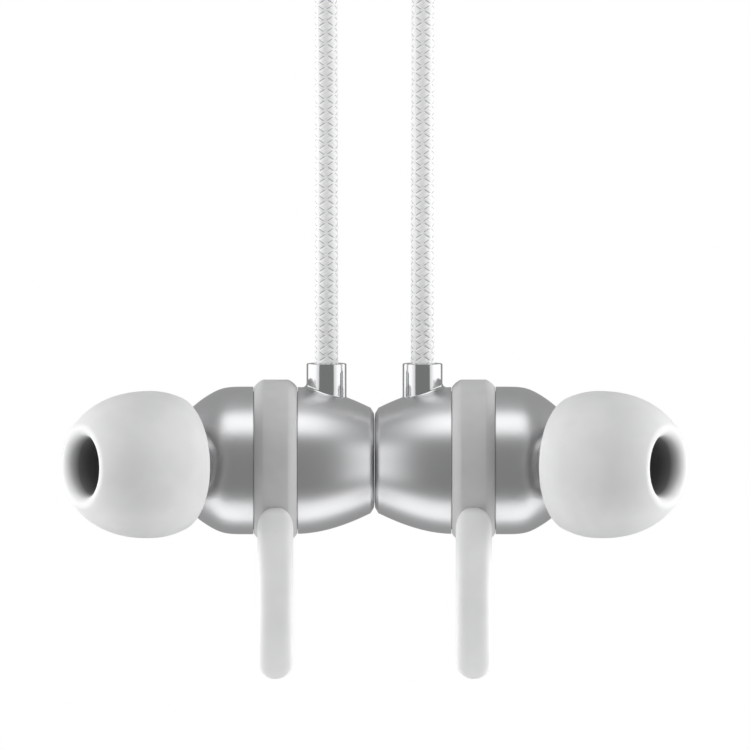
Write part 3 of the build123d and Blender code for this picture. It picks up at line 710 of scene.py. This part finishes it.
def tip_radius(along):
    """The skirt's outer radius at a distance from its rim."""
    if along < TIP_WIDEST:
        share = (TIP_WIDEST - along) / TIP_WIDEST
        return RIM_RADIUS + (TIP_RADIUS - RIM_RADIUS) * (1 - share ** 2)
    share = (along - TIP_WIDEST) / TIP_REACH
    return TIP_RADIUS * (1 - share ** TIP_POWERS[0]) ** TIP_POWERS[1]


def tip_place(side):
    """From the tip's own frame, X along the nozzle's axis from the skirt's rim, to the row frame."""
    turn = Matrix.Rotation(math.radians(-TIP_ANGLE), 4, "Z")
    return bud_place(side) @ Matrix.Translation(TIP_PLACE) @ turn @ Matrix.Translation((TIP_RIM, 0, 0))


def bezier(a, b, c, d, steps):
    """Points on a cubic curve."""
    out = []
    for i in range(steps + 1):
        t = i / steps
        s = 1 - t
        weights = (s ** 3, 3 * s * s * t, 3 * s * t * t, t ** 3)
        out.append(tuple(sum(w * p[k] for w, p in zip(weights, (a, b, c, d))) for k in (0, 1)))
    return out


def make_tip(side, material):
    """The silicone ear tip: a thin skirt folded back from a soft lip, round a core on the nozzle."""
    outer = []
    for i in range(TIP_STEPS + 1):
        along = TIP_START + (TIP_END - TIP_START) * math.sin(math.pi / 2 * i / TIP_STEPS)
        outer.append((along, tip_radius(along)))
    lip = bezier(outer[-1], *in_mm(LIP), CURVE_STEPS)[1:]
    inside = bezier(*in_mm(INSIDE), CURVE_STEPS)[1:]
    rim = bezier(*in_mm(RIM), RIM_STEPS)[1:]
    fold = bezier(rim[-1], *in_mm(FOLD), outer[0], RIM_STEPS)[1:-1]
    profile = outer + lip + in_mm(BORE + CORE) + inside + rim + fold
    obj = lathe(side + "_tip", profile, TIP_SEGMENTS, tip_place(side))
    back = tip_place(side).inverted()
    # share of painted shade at each point, from none at the lip to full a millimetre down the bore
    values = []
    for v in obj.data.vertices:
        p = back @ v.co
        radius = math.hypot(p.y, p.z)
        depth = (BORE_SHADE_START - p.x) / BORE_SHADE_REACH
        values.append(max(0.0, min(1.0, depth)) if radius < BORE_LIMIT and p.x > 0 else 0.0)
    point_values(obj, "bore_shade", values)
    dress(obj, side + "_tip", material, "tip_silicone", side + "_eartip")


# ------------------------------------------------------------------ rear shells and glands
# (from the mirror plane, radius) in millimetres
FLANK = [(0.34, 4.40), (2.3, 5.26), (4.3, 5.86), (6.40, 6.12)]
FACE = [(0.012, 0.0), (0.012, 2.6), (0.014, 3.4), (0.028, 3.74), (0.05, 3.92), (0.07, 3.97)]
CHAMFER = [(0.315, 4.375), (0.335, 4.41)]
SHOULDER = [(6.37, 6.118), (6.40, 6.08), (6.40, 5.75), (8.25, 5.75)]
HOLLOW = [(8.25, 5.15), (4.6, 5.15), (2.3, 4.2), (2.3, 3.0), (0.8, 3.0), (0.8, 0.0)]
FLANK_START = 0.345
FLANK_END = 6.30
FLANK_STEPS = 60
SHELL_SEGMENTS = 256
GLAND_SEGMENTS = 96
GLAND_EDGE = 0.06 * MM
GLAND_FIT = 0.03 * MM
GLAND_DEPTH = 1.2 * MM      # how far down its hole goes
GLAND_SINK = 0.25 * MM      # how far its foot runs into the shell
FLARE_STEPS = 16
FLARE_LEAST = 0.05          # the foot's flare on its inboard side, millimetres
FLARE_MORE = 0.36           # and how much more outboard
FLARE_POWER = 1.6
FLARE_RISE = 0.6 * MM


def flank_radius(x):
    """The rear shell's radius at a distance from the mirror plane, through the flank's four points."""
    total = 0.0
    for i, (xi, ri) in enumerate(FLANK):
        term = ri * MM
        for k, (xk, _) in enumerate(FLANK):
            if k != i:
                term *= (x - xk * MM) / ((xi - xk) * MM)
        total += term
    return total


def make_rear_shell(side, material):
    """The turned rear half: a slightly crowned face, a chamfer and a long flank."""
    profile = in_mm(FACE + CHAMFER)
    for i in range(1, FLANK_STEPS + 1):
        x = (FLANK_START + (FLANK_END - FLANK_START) * i / FLANK_STEPS) * MM
        profile.append((x, flank_radius(x)))
    profile += in_mm(SHOULDER + HOLLOW)
    obj = lathe(side + "_rear_shell_turned", profile, SHELL_SEGMENTS, bud_place(side))
    sharpen(obj, 30)
    dress(obj, side + "_earbud", material, "shell_metal", side + "_rear_shell")


def make_gland(side, material):
    """The polished tube that holds the cord, flared where it meets the shell's outboard side."""
    rings = []
    around = GLAND_SEGMENTS
    radius = GLAND_RADIUS
    edge = GLAND_EDGE
    inner = CORD_DIAMETER / 2 + GLAND_FIT
    heights = [(inner, GLAND_TOP - GLAND_DEPTH), (inner, GLAND_TOP - edge), (inner + edge, GLAND_TOP)]
    heights += [(radius - edge * 1.5, GLAND_TOP), (radius - edge * 0.4, GLAND_TOP - edge * 0.4)]
    heights += [(radius, GLAND_TOP - edge * 1.5)]
    for out, z in heights:
        rings.append([Vector((GLAND_X + out * math.cos(2 * math.pi * j / around),
                              out * math.sin(2 * math.pi * j / around), z)) for j in range(around)])
    for i in range(-1, FLARE_STEPS + 1):
        ring = []
        beta = math.pi / 2 * max(0, i) / FLARE_STEPS
        for j in range(around):
            a = 2 * math.pi * j / around
            outboard = (0.5 + 0.5 * math.cos(a)) ** FLARE_POWER
            flare = (FLARE_LEAST + FLARE_MORE * outboard) * MM
            out = radius + flare * (1 - math.cos(beta))
            x = GLAND_X + out * math.cos(a)
            y = out * math.sin(a)
            surface = math.sqrt(flank_radius(x) ** 2 - y * y)
            lift = flare * (1 - math.sin(beta)) + (FLARE_RISE if i < 0 else 0.0)
            ring.append(Vector((x, y, min(surface + lift, GLAND_TOP - 2 * edge))))
        rings.append(ring)
    rings.append([p - Vector((0, 0, GLAND_SINK)) for p in rings[-1]])
    place = bud_place(side)
    obj = skin(side + "_gland", [[place @ p for p in ring] for ring in rings])
    sharpen(obj, 50)
    dress(obj, side + "_earbud", material, "gland_metal", side + "_cord_gland")


# ------------------------------------------------------------------ ring sleeve and wing
SLEEVE_INNER = 5.80 * MM
SLEEVE_OUTER = 6.74 * MM
SLEEVE_HALF = 1.8 * MM
SLEEVE_WALL = 0.25 * MM     # height of its straight sides over its inner face
SLEEVE_FLAT = 1.0 * MM      # half the width of its flat crown
SLEEVE_BEND = 1.45          # 1 for round sides, more for flatter ones
SLEEVE_STEPS = 16
SLEEVE_SEGMENTS = 192
CROWN_SHARE = 0.4
WING_HALF = 1.5 * MM
WING_STEPS = 60
WING_SEGMENTS = 64
WING_CAP = 20
WING_TOP_SHARE = 0.10       # of the wing's length, rounded at its root
WING_END_SHARE = 0.10       # and at its free end
WING_LEAST = 0.03           # width at the very ends, as a share
WING_SQUARE = 0.62          # 1 for an oval section, less for a squarer one
WING_THIN = 0.35            # how thick the ends stay, as a share
BACKLIT_START = 3.2 * MM       # below the body's axis, where painted light starts to lighten the silicone
BACKLIT_REACH = 0.9 * MM
WING_FRONT = [(-5.95, -3.0), (-7.5, -8.3), (-6.9, -13.4), (-3.7, -18.35)]
WING_BACK = [(-4.0, -5.4), (-5.2, -8.8), (-4.75, -13.0), (-2.35, -17.2)]


def smooth_line(points, t):
    """A point on a smooth line through the given ones, t running from 0 to 1."""
    spots = [Vector((p[0], p[1], 0)) * MM for p in points]
    ends = [spots[0] * 2 - spots[1]] + spots + [spots[-1] * 2 - spots[-2]]
    along = (len(points) - 1) * min(t, 0.999999)
    k = int(along)
    s = along - k
    a, b, c, d = ends[k:k + 4]
    square = (2 * a - 5 * b + 4 * c - d) * s * s
    cube = (3 * b - a - 3 * c + d) * s ** 3
    return 0.5 * (2 * b + (c - a) * s + square + cube)


def wing_stations():
    """Places along the wing and its width there, crowded towards the two rounded ends."""
    out = []
    for i in range(WING_CAP + 1):
        a = math.pi / 2 * i / WING_CAP
        out.append((WING_TOP_SHARE * (1 - math.cos(a)), max(WING_LEAST, math.sin(a))))
    for i in range(1, WING_STEPS):
        out.append((WING_TOP_SHARE + (1 - WING_TOP_SHARE - WING_END_SHARE) * i / WING_STEPS, 1.0))
    for i in range(WING_CAP + 1):
        a = math.pi / 2 * (1 - i / WING_CAP)
        out.append((1 - WING_END_SHARE * (1 - math.cos(a)), max(WING_LEAST, math.sin(a))))
    return out


def make_sleeve(side, material):
    """The ring round the seam, with the hooked wing standing off its front."""
    half, flat = SLEEVE_HALF, SLEEVE_FLAT
    edge = SLEEVE_INNER + SLEEVE_WALL
    rise = SLEEVE_OUTER - edge
    turns = [math.pi / 2 * i / SLEEVE_STEPS for i in range(SLEEVE_STEPS + 1)]
    bends = [(math.cos(a) ** SLEEVE_BEND, math.sin(a) ** SLEEVE_BEND) for a in turns]
    profile = [(-half, SLEEVE_INNER), (-half, edge)]
    profile += [(-flat - (half - flat) * c, edge + rise * s) for c, s in bends[1:]]
    profile += [(-flat * CROWN_SHARE, SLEEVE_OUTER), (flat * CROWN_SHARE, SLEEVE_OUTER)]
    profile += [(flat + (half - flat) * s, edge + rise * c) for c, s in bends]
    profile += [(half, SLEEVE_INNER)]
    place = bud_place(side) @ Matrix.Translation((SEAM_X, 0, 0))
    ring = lathe(side + "_sleeve", profile, SLEEVE_SEGMENTS, place)
    sharpen(ring, 50)
    # the ring gets none of the wing's painted light
    point_values(ring, "free", [0.0] * len(ring.data.vertices))

    rings = []
    for t, scale in wing_stations():
        front = smooth_line(WING_FRONT, t)
        back = smooth_line(WING_BACK, t)
        middle = (front + back) / 2
        depth = (front - back) / 2 * (WING_THIN + (1 - WING_THIN) * scale)
        ring_points = []
        for j in range(WING_SEGMENTS):
            a = 2 * math.pi * j / WING_SEGMENTS
            c, s = math.cos(a), math.sin(a)
            x = WING_HALF * scale * math.copysign(abs(s) ** WING_SQUARE, s)
            p = middle + depth * math.copysign(abs(c) ** WING_SQUARE, c)
            ring_points.append(place @ Vector((x, p.x, p.y)))
        rings.append(ring_points)
    wing = skin(side + "_wing", rings)
    # share of painted light in the wing, rising below the body's axis
    point_values(wing, "free", [min(1.0, max(0.0, (BUD.z - BACKLIT_START - v.co.z) / BACKLIT_REACH))
                                for v in wing.data.vertices])
    dress(ring, side + "_wing", material, "sleeve_silicone", side + "_wing_sleeve")
    dress(wing, side + "_wing", material, "sleeve_silicone")


# ------------------------------------------------------------------ neckband
NECK_RADIUS = 60.0 * MM
BAND_THICK = 4.5 * MM
BAND_TILT = 40.0
BACK_END = 50.0
ARM_START = 62.0
ARM_END = 104.0
ARM_REACH = 42.0 * MM
CORE_RADIUS = 0.8 * MM
HARNESS_RADIUS = 0.6 * MM
HARNESS_Z = -2.0 * MM
FLEX_RIBS = 5
FLEX_STEPS = 24             # to a rib
# thickness, height and corner between the ribs, and what a rib adds to each, in millimetres
FLEX_SIZES = [(3.7, 0.65), (6.2, 0.65), (1.6, 0.3)]
RIB_SQUARE = 1.7            # 1 for a wave, more for ribs with a flat crown
CORNER_STEPS = 6
WIRE_STEPS = 104
WIRE_SIDES = 16


def on_band(angle, out, up, sign):
    """A point of the band, by its angle from the middle of the back, outwards and along its height."""
    turn = math.radians(angle)
    radius = NECK_RADIUS + BAND_THICK / 2 + out
    flat = Vector((sign * radius * math.sin(turn), -NECK_RADIUS + radius * math.cos(turn), up))
    return Matrix.Rotation(math.radians(BAND_TILT), 4, "X") @ flat


def beyond_arc(reach, out, up, sign):
    """A point past the band's round stretch, on its straight end."""
    turn = math.radians(ARM_END)
    along = Vector((sign * math.cos(turn), -math.sin(turn), 0))
    start = on_band(ARM_END, out, up, sign)
    return start + Matrix.Rotation(math.radians(BAND_TILT), 4, "X") @ (along * reach)


def section(thick, height, corner):
    """Points (out, up) round a rounded rectangle."""
    out = []
    for cx, cy, start in ((1, 1, 0), (-1, 1, 90), (-1, -1, 180), (1, -1, 270)):
        for i in range(CORNER_STEPS + 1):
            a = math.radians(start + 90 * i / CORNER_STEPS)
            out.append((cx * (thick / 2 - corner) + corner * math.cos(a),
                        cy * (height / 2 - corner) + corner * math.sin(a)))
    return out


def make_flex(side, material):
    """The ribbed stretch of the band where an arm bends."""
    sign = SIDES[side]
    steps = FLEX_RIBS * FLEX_STEPS
    rings = []
    for i in range(steps + 1):
        angle = BACK_END + (ARM_START - BACK_END) * i / steps
        phase = math.cos(2 * math.pi * FLEX_RIBS * i / steps)
        bulge = 0.5 - 0.5 * max(-1.0, min(1.0, RIB_SQUARE * phase))
        sizes = [(least + more * bulge) * MM for least, more in FLEX_SIZES]
        rings.append([on_band(angle, out, up, sign) for out, up in section(*sizes)])
    obj = skin(side + "_flex", rings)
    dress(obj, None, material, "band_silicone", side + "_band_flex")
    bend_with_arm(obj)


def bend_with_arm(obj):
    """Bakes the piece's placement into its mesh; it does not bend or follow the arm."""
    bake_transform(obj)


def make_wire(side, name, node, radius, up, material, slot):
    """Half of a wire through the band, from the middle of the back to the pod."""
    sign = SIDES[side]
    turns = [2 * math.pi * j / WIRE_SIDES for j in range(WIRE_SIDES)]
    circle = [(radius * math.cos(a), up + radius * math.sin(a)) for a in turns]
    rings = []
    for i in range(WIRE_STEPS + 1):
        rings.append([on_band(ARM_END * i / WIRE_STEPS, out, z, sign) for out, z in circle])
    rings.append([beyond_arc(ARM_REACH, out, z, sign) for out, z in circle])
    obj = skin(f"{side}_{name}", rings)
    dress(obj, None, material, slot, node)
    bend_with_arm(obj)


# ------------------------------------------------------------------ CAD nodes that stay
def finish_cad(materials):
    """Gives every CAD node that is still shown its material."""
    slots = {part["node"]: part["material_slot"] for part in frame["record"]["subparts"]}
    for name, obj in frame["nodes"].items():
        obj.data.materials.clear()
        obj.data.materials.append(materials[slots[name]])


# ------------------------------------------------------------------ assembly
make_camera()
make_world()
make_fills()
make_floor()
materials = make_materials()
for side in SIDES:
    make_cord(side, materials["cord_braid"])
    make_tip(side, materials["tip_silicone"])
    make_rear_shell(side, materials["shell_metal"])
    make_gland(side, materials["gland_metal"])
    make_sleeve(side, materials["sleeve_silicone"])
    make_flex(side, materials["band_silicone"])
    make_wire(side, "core", "core_wire", CORE_RADIUS, 0, materials["core_steel"], "core_steel")
    make_wire(side, "harness", "band_harness", HARNESS_RADIUS, HARNESS_Z, materials["harness_jacket"],
              "harness_jacket")
finish_cad(materials)
